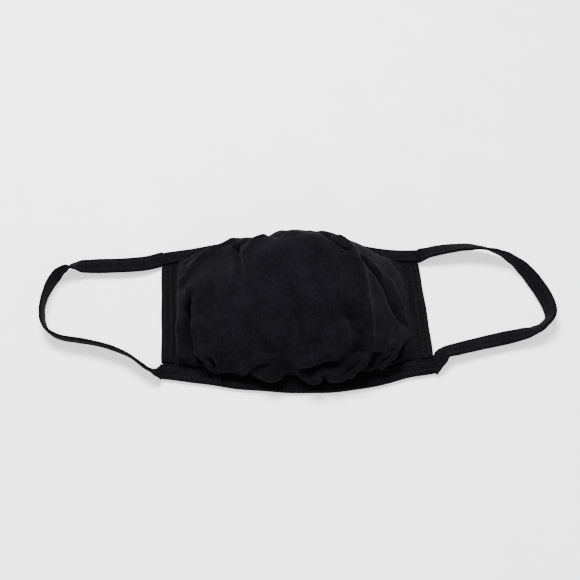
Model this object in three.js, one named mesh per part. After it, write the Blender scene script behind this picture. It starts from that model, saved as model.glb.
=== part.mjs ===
// A gathered cloth face mask lying on a table with its hollow side down.
//
// One panel of two-ply cotton jersey is gathered onto a top and a bottom binding, so that it stands up in a
// dome over the nose and mouth. Folded jersey tape binds all four edges, and the same tape makes the two ear
// loops, which spread out flat or on edge at the sides.
//
// Millimetres, +X along the mask from the left ear loop to the right one as seen from above, +Y towards the
// nose edge, +Z up from the table. The origin is on the table, under the middle of the mask.
import * as THREE from "three";

// ---------------------------------------------------------------- driving dimensions
const CLOTH = 1.2; // two plies of jersey
const GAP = 0.3; // between one piece and the next
const EDGE_TAPE = { width: 9.6, thickness: 3.2, slot: 5.0 }; // the folded tape on the nose and chin edges
const SIDE_TAPE = { width: 7.6, thickness: 3.2, slot: 4.2 }; // the folded tape on the two short sides
const LOOP_TAPE = { width: 10.8, thickness: 2.0 }; // the same tape, stitched shut
const CORNER_CUT = 0.6; // how much the tapes' long edges are cut back

const STATIONS = { edge: 38, side: 12, loop: 56 }; // along each kind of tape
const COLUMNS = 44; // of the panel's mesh, across the face
const MARGIN = 3.1; // percent of the panel's width that lies flat at each side tape
const ROWS = 28; // of the panel's mesh, from chin to nose
const PANEL_ENDS = { left: [-34, 33], right: [-31.5, 34.5] }; // y of the panel's corners
const LIP = 4.4; // how far the cloth stands up out of the tape before it bulges out over it
const SINK = 0.3; // share of that height a fold may sink back beside a tape; at the dome's middle, all of it
const BULGE_AT = 5; // degrees up the dome where it bulges most
const LOW = 4; // height of the dome under which its folds fade out
const NARROWEST = 2.6; // fold that the panel's mesh can follow; narrower ones are made this wide and shallower
const DOME_LENGTH = 140; // of cloth from binding to binding, up one side of the dome and down the other
const FULL_HEIGHT = 30.5; // of the dome over its bindings, at its middle
const UPRIGHT = 1 / 3; // share of that height from which the cloth stands up fully out of its tapes
const STEEPNESS = 0.86; // power that draws the rows of cloth in over the dome's foot
const BREADTH = 0.74; // power that broadens the dome's top
const TRIM = 3; // stations of a tape over which its section turns to a slanting end
const STEP = 0.002; // share of a route over which a direction is measured
const HALVINGS = 24; // in the search for a place on a route

// ---------------------------------------------------------------- routes of the tapes
// Every route runs clockwise seen from above. roll 0 is flat with the face up, 90 is on edge with the face
// outwards and -90 with the face inwards. Each ear loop comes back the other way up, after half a twist. lift
// is how far the tape's lowest edge is off the table.
const NOSE_ROUTE = [
  { x: -84, y: 39, lift: 0.1, roll: 0 },
  { x: -70, y: 41.4, lift: 0.3, roll: 0 },
  { x: -52, y: 44.6, lift: 1, roll: 6 },
  { x: -34, y: 47.6, lift: 1.4, roll: 14 },
  { x: -14, y: 49.3, lift: 2, roll: 18 },
  { x: 6, y: 49.4, lift: 2.2, roll: 18 },
  { x: 24, y: 47.8, lift: 1.8, roll: 16 },
  { x: 38, y: 44.8, lift: 1.4, roll: 8 },
  { x: 54, y: 41.9, lift: 0.4, roll: 0 },
  { x: 66, y: 41.2, lift: 0.1, roll: 0 },
  { x: 76, y: 41.3, lift: 0.1, roll: 0 },
];
const CHIN_ROUTE = [
  { x: 80.3, y: -37.5, lift: 0, roll: 0 },
  { x: 66, y: -40.1, lift: 0, roll: 0 },
  { x: 52, y: -44.2, lift: 0, roll: 0 },
  { x: 34, y: -48.3, lift: 0, roll: 0 },
  { x: 10, y: -50.5, lift: 0, roll: 0 },
  { x: -14, y: -49.6, lift: 0, roll: 0 },
  { x: -36, y: -47.5, lift: 0, roll: 0 },
  { x: -56, y: -44.2, lift: 0, roll: 0 },
  { x: -78, y: -41.3, lift: 0, roll: 0 },
];
const LEFT_ROUTE = [
  { x: -75.6, y: -35.9, lift: 0, roll: 0 },
  { x: -76.4, y: -24, lift: 0, roll: 0 },
  { x: -77.8, y: -6, lift: 0, roll: 0 },
  { x: -79.4, y: 14, lift: 0, roll: 0 },
  { x: -80.8, y: 33.6, lift: 0, roll: 0 },
];
const RIGHT_ROUTE = [
  { x: 72.8, y: 35.6, lift: 0, roll: 0 },
  { x: 74, y: 18, lift: 0, roll: 0 },
  { x: 75.1, y: 0, lift: 0, roll: 0 },
  { x: 76, y: -18, lift: 0, roll: 0 },
  { x: 76.4, y: -32.8, lift: 0, roll: 0 },
];
const LEFT_LOOP_ROUTE = [
  { x: -78.4, y: -41.7, lift: 0.6, roll: 0 },
  { x: -80.6, y: -42.4, lift: 0.4, roll: -34 },
  { x: -83.6, y: -42.4, lift: 0.3, roll: -62 },
  { x: -87.8, y: -40.4, lift: 0.4, roll: -73 },
  { x: -92.4, y: -36.9, lift: 0.4, roll: -73 },
  { x: -97, y: -33.3, lift: 0.5, roll: -72 },
  { x: -104, y: -29.6, lift: 0.4, roll: -72 },
  { x: -112, y: -26.6, lift: 0.4, roll: -72 },
  { x: -122, y: -23.9, lift: 0.3, roll: -71 },
  { x: -131, y: -22.2, lift: 0.2, roll: -72 },
  { x: -139, y: -20.6, lift: 0.2, roll: -73 },
  { x: -146.4, y: -16.8, lift: 0.2, roll: -76 },
  { x: -150.8, y: -11.2, lift: 0.2, roll: -82 },
  { x: -152.9, y: -4, lift: 0.2, roll: -89 },
  { x: -153.6, y: 3, lift: 0.2, roll: -93 },
  { x: -153, y: 10, lift: 0.2, roll: -92 },
  { x: -151.2, y: 17.4, lift: 0.2, roll: -87 },
  { x: -148.2, y: 24, lift: 0.2, roll: -84 },
  { x: -144, y: 29, lift: 0.4, roll: -104 },
  { x: -139.2, y: 31.4, lift: 1, roll: -140 },
  { x: -132.7, y: 32.4, lift: 2, roll: -172 },
  { x: -122, y: 32.7, lift: 2.6, roll: -180 },
  { x: -110, y: 32.8, lift: 3, roll: -180 },
  { x: -100, y: 33.9, lift: 2.6, roll: -180 },
  { x: -92.9, y: 35.6, lift: 1.8, roll: -180 },
  { x: -84.4, y: 39.3, lift: 0.6, roll: -180 },
];
const RIGHT_LOOP_ROUTE = [
  { x: 76.4, y: 41.5, lift: 0.6, roll: 0 },
  { x: 84, y: 42.8, lift: 1.4, roll: 22 },
  { x: 94, y: 44.2, lift: 2.6, roll: 26 },
  { x: 106, y: 45.2, lift: 2.8, roll: 34 },
  { x: 117, y: 44.2, lift: 2.4, roll: 48 },
  { x: 127, y: 41.2, lift: 1.3, roll: 64 },
  { x: 134, y: 36.2, lift: 0.9, roll: 84 },
  { x: 141, y: 28.2, lift: 0.7, roll: 104 },
  { x: 146.2, y: 19.4, lift: 0.5, roll: 117 },
  { x: 150.2, y: 10.2, lift: 0.5, roll: 121 },
  { x: 152.4, y: 1.6, lift: 0.6, roll: 118 },
  { x: 152.2, y: -5.6, lift: 0.7, roll: 114 },
  { x: 147.8, y: -11.2, lift: 0.8, roll: 120 },
  { x: 142.4, y: -14.6, lift: 0.8, roll: 136 },
  { x: 134.5, y: -17, lift: 0.8, roll: 154 },
  { x: 124, y: -19.4, lift: 0.6, roll: 162 },
  { x: 106, y: -24, lift: 0.6, roll: 160 },
  { x: 94, y: -27.4, lift: 0.5, roll: 155 },
  { x: 87, y: -29.8, lift: 0.4, roll: 150 },
  { x: 84.2, y: -32.8, lift: 0.4, roll: 160 },
  { x: 80.8, y: -36.4, lift: 0.5, roll: 180 },
];

// ---------------------------------------------------------------- the dome and its folds
// A row for each station across the panel, in percent of its width: how high the cloth stands over its
// bindings there, and where its crown is, in percent of the way from chin to nose.
const CROWNS = [
  { at: 0, height: 0, crown: 50 },
  { at: MARGIN, height: 0, crown: 50 },
  { at: 5, height: 7.5, crown: 46 },
  { at: 8.5, height: 9.5, crown: 47 },
  { at: 12, height: 12.5, crown: 48 },
  { at: 17, height: 17, crown: 48 },
  { at: 28, height: 23.5, crown: 50 },
  { at: 42, height: 28.3, crown: 53 },
  { at: 58, height: 30, crown: 55 },
  { at: 71, height: 25.8, crown: 52 },
  { at: 80, height: 20.5, crown: 47 },
  { at: 87.5, height: 11.5, crown: 38 },
  { at: 93, height: 5.6, crown: 34 },
  { at: 100 - MARGIN, height: 0, crown: 34 },
  { at: 100, height: 0, crown: 50 },
];
// How far the gathered cloth bulges out over each binding, at each x across the face.
const CHIN_PUFFS = [
  { at: -76, out: 0 },
  { at: -66, out: 1 },
  { at: -58, out: 1.6 },
  { at: -54, out: 3 },
  { at: -50, out: 5 },
  { at: -46.5, out: 6.8 },
  { at: -43, out: 5.4 },
  { at: -37, out: 5 },
  { at: -30, out: 4.4 },
  { at: -26, out: 4.8 },
  { at: -17, out: 8.2 },
  { at: -10, out: 6.4 },
  { at: -6.5, out: 3 },
  { at: -1, out: 2.4 },
  { at: 2.5, out: 5.4 },
  { at: 8, out: 8.8 },
  { at: 13, out: 8 },
  { at: 15.5, out: 5.8 },
  { at: 19, out: 7.4 },
  { at: 25, out: 7.8 },
  { at: 30, out: 6.2 },
  { at: 37, out: 5.2 },
  { at: 43, out: 4 },
  { at: 47, out: 2.6 },
  { at: 53, out: 2.6 },
  { at: 62, out: 1.4 },
  { at: 76, out: 0 },
];
const NOSE_PUFFS = [
  { at: -76, out: 0 },
  { at: -46, out: 2.2 },
  { at: -34, out: 0.6 },
  { at: -26, out: 2.6 },
  { at: -20, out: 1.2 },
  { at: -8, out: 2.6 },
  { at: 6, out: 1.8 },
  { at: 18, out: 3 },
  { at: 30, out: 2.4 },
  { at: 44, out: 1.2 },
  { at: 76, out: 0 },
];
// A row for each fold. It runs through places on the cloth, each an x across the face and degrees up the
// dome, from 0 at the chin binding to 180 at the nose binding. There it moves the cloth outwards by its depth,
// to its right by its lean, and straight down by its drop. A negative depth is a valley.
const FOLDS = [
  { name: "left_groove", through: [[-63.6, 86], [-62.8, 74], [-61.8, 56], [-60.4, 36], [-58.4, 18], [-54, 6], [-48, 3]], width: 2.7, depth: -5.4, lean: 0, drop: 10 },
  { name: "groove_brow", through: [[-57.6, 86], [-56.4, 66], [-55.4, 48], [-54.2, 28]], width: 2.6, depth: 1.2, lean: 3.2, drop: 0 },
  { name: "left_lobe", through: [[-65.8, 16], [-67.8, 42], [-68, 66], [-66.4, 88], [-63.5, 98]], width: 2.4, depth: 3.2, lean: 2, drop: 0 },
  { name: "upper_left_roll", through: [[-68, 116], [-60, 128], [-50, 141], [-40, 152]], width: 4, depth: 2.6, lean: 0, drop: 0 },
  { name: "upper_left_dip", through: [[-66, 148], [-52, 160]], width: 4, depth: -2.4, lean: 0, drop: 0 },
  { name: "nose_tuck", through: [[-35.6, 134], [-34.8, 120], [-33.4, 108], [-32.2, 97]], width: 1.9, depth: -6.4, lean: 0.8, drop: 0 },
  { name: "tuck_branch", through: [[-33, 114], [-28, 122], [-24, 134], [-20, 140]], width: 2.2, depth: 1.7, lean: 0.6, drop: 0 },
  { name: "nose_gather_1", through: [[-30, 132], [-26, 150], [-23, 176]], width: 2.2, depth: -3, lean: 0, drop: 0 },
  { name: "left_pocket", through: [[-49.5, 19], [-47, 10], [-44, 4]], width: 1.7, depth: -4.6, lean: 0, drop: 0 },
  { name: "pocket_ridge_1", through: [[-53.5, 26], [-50.5, 10], [-47.5, 4]], width: 1.5, depth: 1.6, lean: 0, drop: 0 },
  { name: "pocket_ridge_2", through: [[-45.5, 24], [-42.5, 10]], width: 2.2, depth: 1.6, lean: 0, drop: 0 },
  { name: "puff_crescent", through: [[-27, 3], [-25, 9], [-21, 14], [-17, 16]], width: 1.8, depth: -2, lean: -1, drop: 0 },
  { name: "puff_brow", through: [[-29, 14], [-22, 21], [-14, 22]], width: 3, depth: 1.2, lean: 0, drop: 0 },
  { name: "chin_hollow", through: [[-4, 2], [-4, 10]], width: 3.4, depth: -2.4, lean: 0, drop: 0 },
  { name: "hollow_rise", through: [[-4, 12], [-5, 30]], width: 4, depth: -1, lean: 0, drop: 0 },
  { name: "chin_fold", through: [[3, 9], [9, 12], [15, 14], [22, 15]], width: 2.2, depth: -5.6, lean: -2.2, drop: 0 },
  { name: "fold_brow", through: [[2, 17], [10, 22], [18, 26], [25, 26]], width: 3, depth: 1.6, lean: 0, drop: 0 },
  { name: "puff_gap", through: [[15, 1], [15.5, 6]], width: 1.6, depth: -2.4, lean: 0, drop: 0 },
  { name: "cheek_ridge", through: [[22, 78], [24.5, 56], [27.5, 34], [29.5, 16]], width: 2.8, depth: 1.4, lean: 0, drop: 0 },
  { name: "cheek_hollow", through: [[30.5, 60], [33, 46], [35, 26]], width: 5.4, depth: -4.4, lean: 0, drop: 0 },
  { name: "corner_ridge", through: [[42, 44], [42.5, 26], [38, 12], [31, 6]], width: 2, depth: 2.6, lean: 1.4, drop: 0 },
  { name: "corner_pocket", through: [[46, 26], [42, 9], [36, 4]], width: 2.4, depth: -5, lean: 0, drop: 0 },
  { name: "right_pleat", through: [[58.5, 46], [57, 32], [54, 14], [49, 5]], width: 1.6, depth: 2.4, lean: 1.5, drop: 0 },
  { name: "right_pocket", through: [[62, 42], [60.5, 24], [57, 10]], width: 2.8, depth: -2.4, lean: 0, drop: 3.5 },
  { name: "flap_slit", through: [[10.5, 152], [14, 141], [18.5, 130], [24.5, 122], [30, 120]], width: 1.8, depth: -5.2, lean: -1.2, drop: 0 },
  { name: "right_flap", through: [[26, 138], [30, 132], [34, 120], [37, 104], [39.5, 86], [41, 66], [41.5, 48]], width: 2.6, depth: 2.6, lean: 1.2, drop: 0 },
  { name: "right_valley", through: [[39, 116], [43.5, 112], [48, 110], [52, 104], [54.5, 96], [58, 90], [62, 85], [66, 79]], width: 2.6, depth: -2.8, lean: 0, drop: 3.5 },
  { name: "right_swell", through: [[55, 118], [61, 108], [67, 95]], width: 3, depth: 1.2, lean: 0, drop: 0 },
  { name: "nose_gather_2", through: [[-19, 166], [-17, 148], [-12, 134]], width: 4, depth: -2.6, lean: 0, drop: 0 },
  { name: "nose_gather_3", through: [[-4, 154], [-6, 180]], width: 2.4, depth: -3, lean: 0, drop: 0 },
  { name: "nose_gather_4", through: [[6, 160], [8, 180]], width: 2, depth: -2.6, lean: 0, drop: 0 },
];

// ---------------------------------------------------------------- helpers
const { clamp, degToRad, lerp, smoothstep } = THREE.MathUtils;
const UP = new THREE.Vector3(0, 0, 1);

// A column of a table at some place between its rows, on one smooth curve through them.
function columnAt(rows, column, at) {
  const slope = (k) => {
    const a = rows[Math.max(k - 1, 0)];
    const b = rows[Math.min(k + 1, rows.length - 1)];
    return (b[column] - a[column]) / (b.at - a.at);
  };
  const next = rows.findIndex((row) => row.at >= at);
  const i = clamp(next - 1, 0, rows.length - 2);
  const [a, b] = [rows[i], rows[i + 1]];
  if (a[column] === b[column]) return a[column];
  const span = b.at - a.at;
  const t = clamp((at - a.at) / span, 0, 1);
  const level = (1 + 2 * t) * (1 - t) ** 2 * a[column] + t ** 2 * (3 - 2 * t) * b[column];
  return level + span * t * (1 - t) * ((1 - t) * slope(i) - t * slope(i + 1));
}

// A tape's middle line and the way it is turned there. The function it gives takes a share of the route
// and gives the middle there, the level way ahead, the way `wide` to the tape's outer edge, and the way
// `face` that its upper side looks.
function route(rows, { width, thickness }) {
  const points = rows.map(({ x, y, lift, roll }) => {
    const turn = degToRad(roll);
    const drop = (width * Math.abs(Math.sin(turn)) + thickness * Math.abs(Math.cos(turn))) / 2;
    return new THREE.Vector3(x, y, lift + drop);
  });
  const line = new THREE.CatmullRomCurve3(points);
  const spans = rows.length - 1;
  const rollAt = (share) => {
    const k = Math.min(Math.floor(share * spans), spans - 1);
    const t = smoothstep(share * spans - k, 0, 1);
    return degToRad(lerp(rows[k].roll, rows[k + 1].roll, t));
  };
  return (share) => {
    const before = line.getPoint(Math.max(share - STEP, 0));
    const ahead = line.getPoint(Math.min(share + STEP, 1)).sub(before).setZ(0).normalize();
    const out = UP.clone().cross(ahead);
    const roll = rollAt(share);
    return {
      middle: line.getPoint(share),
      ahead,
      wide: out.clone().multiplyScalar(Math.cos(roll)).addScaledVector(UP, -Math.sin(roll)),
      face: UP.clone().multiplyScalar(Math.cos(roll)).addScaledVector(out, Math.sin(roll)),
    };
  };
}

// The place on a route where one coordinate has a value. It only ever rises or only ever falls there.
function placeWhere(path, axis, value) {
  let [low, high] = [0, 1];
  const rising = path(1).middle[axis] > path(0).middle[axis];
  for (let i = 0; i < HALVINGS; i += 1) {
    const middle = (low + high) / 2;
    if (path(middle).middle[axis] < value === rising) low = middle;
    else high = middle;
  }
  return path(low);
}

const offset = (place, across, through) =>
  place.middle.clone().addScaledVector(place.wide, across).addScaledVector(place.face, through);

// A closed mesh through rings of points that share one outline, with flat ends.
function loft(rings, outline) {
  const size = outline.length;
  const index = [];
  for (let i = 0; i + 1 < rings.length; i += 1) {
    for (let k = 0; k < size; k += 1) {
      const [a, b] = [i * size + k, i * size + ((k + 1) % size)];
      index.push(a, b, a + size, b, b + size, a + size);
    }
  }
  const end = (rings.length - 1) * size;
  for (const [a, b, c] of THREE.ShapeUtils.triangulateShape(outline, [])) {
    index.push(a, c, b, end + a, end + b, end + c);
  }
  return new THREE.BufferGeometry().setFromPoints(rings.flat()).setIndex(index);
}

// ---------------------------------------------------------------- tapes
// The outline across a tape: x from its inner to its outer edge, y through it.
function shutTape({ width, thickness }) {
  const [w, h, c] = [width / 2, thickness / 2, CORNER_CUT];
  const outer = [[w - c, -h], [w, c - h], [w, h - c], [w - c, h]];
  const inner = outer.map(([x, y]) => [-x, -y]);
  return [...outer, ...inner].map(([x, y]) => new THREE.Vector2(x, y));
}

// The same tape open along its inner edge, with a slot that takes the panel.
function foldedTape({ width, thickness, slot }) {
  const [w, h, c] = [width / 2, thickness / 2, CORNER_CUT];
  const mouth = CLOTH / 2 + GAP;
  const floor = slot - w;
  const outside = [[-w, -h], [w - c, -h], [w, c - h], [w, h - c], [w - c, h], [-w, h]];
  const inside = [[-w, mouth], [floor, mouth], [floor, -mouth], [-w, -mouth]];
  return [...outside, ...inside].map(([x, y]) => new THREE.Vector2(x, y));
}

// facing gives the directions that its first and its last end are square to.
function tape(path, outline, kind, facing) {
  const stations = STATIONS[kind];
  const rings = Array.from({ length: stations + 1 }, (_, i) => {
    const place = path(i / stations);
    const square = facing[Math.round(i / stations)];
    const near = Math.max(0, 1 - Math.min(i, stations - i) / TRIM);
    const skew = (-near * place.wide.dot(square)) / place.ahead.dot(square);
    return outline.map((p) => offset(place, p.x, p.y).addScaledVector(place.ahead, skew * p.x));
  });
  return loft(rings, outline);
}

// ---------------------------------------------------------------- the gathered panel
const nose = route(NOSE_ROUTE, EDGE_TAPE);
const chin = route(CHIN_ROUTE, EDGE_TAPE);
const left = route(LEFT_ROUTE, SIDE_TAPE);
const right = route(RIGHT_ROUTE, SIDE_TAPE);

// How far in from a tape's middle the cloth's cut edge is, and where the cloth comes out of the tape.
const hemAt = ({ width, slot }) => slot - width / 2 - 2 * GAP;
const mouthAt = ({ width }) => -width / 2 - CLOTH / 2 - GAP;

const STILL = { out: 0, across: 0, up: 0, down: 0 };

// How far the folds move the cloth at a place on it: out of its face, across, up the dome and straight down.
function foldsAt(x, degrees) {
  const perDegree = DOME_LENGTH / 180;
  const place = new THREE.Vector2(x, degrees * perDegree);
  const moved = { ...STILL };
  for (const { through, width, depth, lean, drop } of FOLDS) {
    const line = through.map(([at, deg]) => new THREE.Vector2(at, deg * perDegree));
    let nearest = Infinity;
    let heading = new THREE.Vector2();
    for (let k = 0; k + 1 < line.length; k += 1) {
      const run = line[k + 1].clone().sub(line[k]);
      const reach = place.clone().sub(line[k]);
      const along = clamp(reach.dot(run) / run.lengthSq(), 0, 1);
      const beside = reach.addScaledVector(run, -along).length();
      if (beside < nearest) [nearest, heading] = [beside, run.normalize()];
    }
    const broad = Math.max(width, NARROWEST);
    const share = (width / broad) * Math.exp(-((nearest / broad) ** 2));
    moved.out += depth * share;
    moved.across += lean * share * heading.y;
    moved.up -= lean * share * heading.x;
    moved.down += drop * share;
  }
  return moved;
}

// The bulge over a binding: 0 at the binding, 1 at BULGE_AT.
const bulge = (degrees) => (degrees / BULGE_AT) * Math.exp(1 - degrees / BULGE_AT);

// One line of cloth from the chin binding up over the dome to the nose binding.
function clothLine(share) {
  const hem = hemAt(SIDE_TAPE);
  const [l, r] = [PANEL_ENDS.left, PANEL_ENDS.right];
  const xAt = (end) =>
    lerp(
      offset(placeWhere(left, "y", l[end]), hem, 0).x,
      offset(placeWhere(right, "y", r[end]), hem, 0).x,
      share,
    );
  const ends = [placeWhere(chin, "x", xAt(0)), placeWhere(nose, "x", xAt(1))];
  const height = columnAt(CROWNS, "height", share * 100);
  const crown = columnAt(CROWNS, "crown", share * 100) / 100;
  const [hems, mouths] = [hemAt(EDGE_TAPE), mouthAt(EDGE_TAPE)].map((across) =>
    ends.map((place) => offset(place, across, 0)),
  );
  const rise = Math.min(height / FULL_HEIGHT / UPRIGHT, 1);
  const [over, behind] = [columnAt(CHIN_PUFFS, "out", xAt(0)), columnAt(NOSE_PUFFS, "out", xAt(1))];
  const lips = mouths.map((mouth, end) =>
    mouth
      .clone()
      .addScaledVector(UP, LIP * rise)
      .addScaledVector(ends[end].wide, rise - 1),
  );
  const dome = Array.from({ length: ROWS + 1 }, (_, j) => {
    const degrees = 90 * (1 - Math.cos((Math.PI * j) / ROWS));
    const angle = degToRad(degrees);
    const round = Math.cos(angle);
    const steep = (1 - Math.sign(round) * Math.abs(round) ** STEEPNESS) / 2;
    const way = lerp(j / ROWS, steep, rise);
    const place = lips[0].clone().lerp(lips[1], way + (crown - 0.5) * Math.sin(angle) ** 2);
    place.y += (behind * bulge(180 - degrees) - over * bulge(degrees)) * rise ** 2;
    place.z += height * Math.sin(angle) ** BREADTH;
    const share = rise ** 2 * Math.min(height / LOW, j, ROWS - j, 1);
    const sink = lerp(SINK, 1, Math.sin(angle));
    const lowest = lerp(lips[0].z, lips[1].z, way) - sink * LIP * rise;
    return { place, folds: foldsAt(place.x, degrees), share, lowest };
  });
  const flat = (place) => ({ place, folds: STILL, share: 0, lowest: 0 });
  return [flat(hems[0]), flat(mouths[0]), ...dome, flat(mouths[1]), flat(hems[1])];
}

// The directions across, up and out of a grid of points at one of them.
function directionsAt(grid, i, j) {
  const [i0, i1] = [Math.max(i - 1, 0), Math.min(i + 1, grid.length - 1)];
  const [j0, j1] = [Math.max(j - 1, 0), Math.min(j + 1, grid[0].length - 1)];
  const across = grid[i1][j].clone().sub(grid[i0][j]).normalize();
  const up = grid[i][j1].clone().sub(grid[i][j0]).normalize();
  return { across, up, out: across.clone().cross(up).normalize() };
}

// Where a column of the panel's mesh is, as a share of the panel's width.
function columnShare(i) {
  if (i === 0 || i === COLUMNS) return i / COLUMNS;
  return lerp(MARGIN, 100 - MARGIN, (i - 1) / (COLUMNS - 2)) / 100;
}

// A wall CLOTH thick on the folded grid of cloth lines, closed round its rim.
function panel() {
  const lines = Array.from({ length: COLUMNS + 1 }, (_, i) => clothLine(columnShare(i)));
  const smooth = lines.map((line) => line.map(({ place }) => place));
  const grid = lines.map((line, i) =>
    line.map(({ place, folds, share, lowest }, j) => {
      const { across, up, out } = directionsAt(smooth, i, j);
      const moved = place
        .clone()
        .addScaledVector(out, folds.out * share)
        .addScaledVector(across, folds.across * share)
        .addScaledVector(up, folds.up * share)
        .addScaledVector(UP, -folds.down * share);
      moved.z = Math.max(moved.z, lowest);
      return moved;
    }),
  );
  const wall = (shift) =>
    grid.flatMap((line, i) =>
      line.map((place, j) => place.clone().addScaledVector(directionsAt(grid, i, j).out, shift)),
    );
  const tall = grid[0].length;
  const under = grid.length * tall;
  const index = [];
  const quad = (a, b, c, d) => index.push(a, b, c, a, c, d);
  for (let i = 0; i + 1 < grid.length; i += 1) {
    for (let j = 0; j + 1 < tall; j += 1) {
      const a = i * tall + j;
      quad(a, a + tall, a + tall + 1, a + 1);
      quad(under + a, under + a + 1, under + a + tall + 1, under + a + tall);
    }
  }
  const rim = [];
  for (let i = 0; i + 1 < grid.length; i += 1) rim.push(i * tall);
  for (let j = 0; j + 1 < tall; j += 1) rim.push((grid.length - 1) * tall + j);
  for (let i = grid.length - 1; i > 0; i -= 1) rim.push(i * tall + tall - 1);
  for (let j = tall - 1; j > 0; j -= 1) rim.push(j);
  rim.forEach((a, k) => {
    const b = rim[(k + 1) % rim.length];
    quad(b, a, under + a, under + b);
  });
  const points = [...wall(CLOTH / 2), ...wall(-CLOTH / 2)];
  return new THREE.BufferGeometry().setFromPoints(points).setIndex(index);
}

// ---------------------------------------------------------------- the assembly
const panelJersey = new THREE.MeshStandardMaterial({ color: 0x131317, roughness: 0.92, metalness: 0 });
const tapeJersey = new THREE.MeshStandardMaterial({ color: 0x101013, roughness: 0.88, metalness: 0 });

const mask = new THREE.Group();
function add(name, geometry, material) {
  geometry.computeVertexNormals();
  const mesh = new THREE.Mesh(geometry, material);
  mesh.name = name;
  mask.add(mesh);
}

add("face_panel", panel(), panelJersey);
const across = new THREE.Vector3(1, 0, 0);
const edgesAt = (x, paths) => paths.map((path) => placeWhere(path, "x", x).wide);
const corners = { left: edgesAt(-77, [chin, nose]), right: edgesAt(73, [nose, chin]) };
const loops = [LEFT_LOOP_ROUTE, RIGHT_LOOP_ROUTE].map((rows) => route(rows, LOOP_TAPE));
const [edge, side, loop] = [foldedTape(EDGE_TAPE), foldedTape(SIDE_TAPE), shutTape(LOOP_TAPE)];
add("nose_binding", tape(nose, edge, "edge", [across, across]), tapeJersey);
add("chin_binding", tape(chin, edge, "edge", [across, across]), tapeJersey);
add("left_side_binding", tape(left, side, "side", corners.left), tapeJersey);
add("right_side_binding", tape(right, side, "side", corners.right), tapeJersey);
add("left_ear_loop", tape(loops[0], loop, "loop", [across, across]), tapeJersey);
add("right_ear_loop", tape(loops[1], loop, "loop", [across, across]), tapeJersey);

const box = new THREE.Box3().setFromObject(mask);
mask.position.set(-(box.min.x + box.max.x) / 2, -(box.min.y + box.max.y) / 2, -box.min.z);

export default mask;
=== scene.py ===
# %% [markdown]
# # A gathered jersey face mask
#
# The mask is one panel of two-ply black cotton jersey. It is gathered onto a bound edge at the nose and
# another at the chin, so it stands up in a dome, and the tape that binds it runs on into two ear loops.
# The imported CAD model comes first: it fixes every size and place, and each cloth piece made below stands for
# one of its plain solids.

import math

import bpy
import numpy as np
from mathutils import Matrix, Vector


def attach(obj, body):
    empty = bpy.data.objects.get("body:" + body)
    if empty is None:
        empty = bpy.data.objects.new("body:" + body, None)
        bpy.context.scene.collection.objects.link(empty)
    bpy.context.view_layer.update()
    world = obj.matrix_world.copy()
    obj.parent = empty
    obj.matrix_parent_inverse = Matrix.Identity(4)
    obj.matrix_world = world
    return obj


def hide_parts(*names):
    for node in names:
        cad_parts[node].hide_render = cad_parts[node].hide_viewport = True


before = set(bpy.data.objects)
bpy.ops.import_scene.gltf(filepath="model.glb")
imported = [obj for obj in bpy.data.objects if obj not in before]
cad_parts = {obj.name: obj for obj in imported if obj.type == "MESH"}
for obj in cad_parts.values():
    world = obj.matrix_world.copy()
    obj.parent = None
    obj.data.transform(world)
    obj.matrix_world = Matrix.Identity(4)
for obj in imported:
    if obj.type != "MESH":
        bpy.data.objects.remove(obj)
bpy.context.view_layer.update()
MM = 0.001

# %% [markdown]
# ## The camera
#
# The view looks down at a little more than halfway to straight above, from the chin side. A long lens a
# good half metre away keeps the two loops nearly the same size.

# %% Make the camera
CAMERA_ELEVATION = math.radians(56)
CAMERA_DISTANCE = 0.56  # m
CAMERA_LENS = 56.2  # mm
LOOKS_AT = Vector((-0.00447, 0.01745, 0.0))  # m, a place on the table


def deselect_all():
    if bpy.context.mode != "OBJECT":
        bpy.ops.object.mode_set(mode="OBJECT")
    bpy.ops.object.select_all(action="DESELECT")


deselect_all()
backwards = Vector((0, -math.cos(CAMERA_ELEVATION), math.sin(CAMERA_ELEVATION)))
bpy.ops.object.camera_add(location=LOOKS_AT + backwards * CAMERA_DISTANCE)
camera = bpy.context.object
camera.rotation_euler = (-backwards).to_track_quat("-Z", "Y").to_euler()
camera.data.lens = CAMERA_LENS
camera.data.clip_start, camera.data.clip_end = 0.01, 20
bpy.context.scene.camera = camera
print("camera at", [round(v, 3) for v in camera.location])

# %% [markdown]
# ## Where the tapes run
#
# A tape is thin and keeps its width, so a line along its middle and how far it is rolled there say all about
# it. A row holds a place in millimetres, how high the tape's lowest edge is off the table, and the roll in
# degrees: 0 lies flat with the face up, 90 stands on edge with the face outwards, and a negative roll turns
# the face inwards. A real loop of tape seldom comes round without a twist, and each of these makes half a
# turn, so its roll goes from 0 to 180 or to -180. Every route runs clockwise seen from above, so a flat
# tape's outer edge is on the left of the way ahead.

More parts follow.
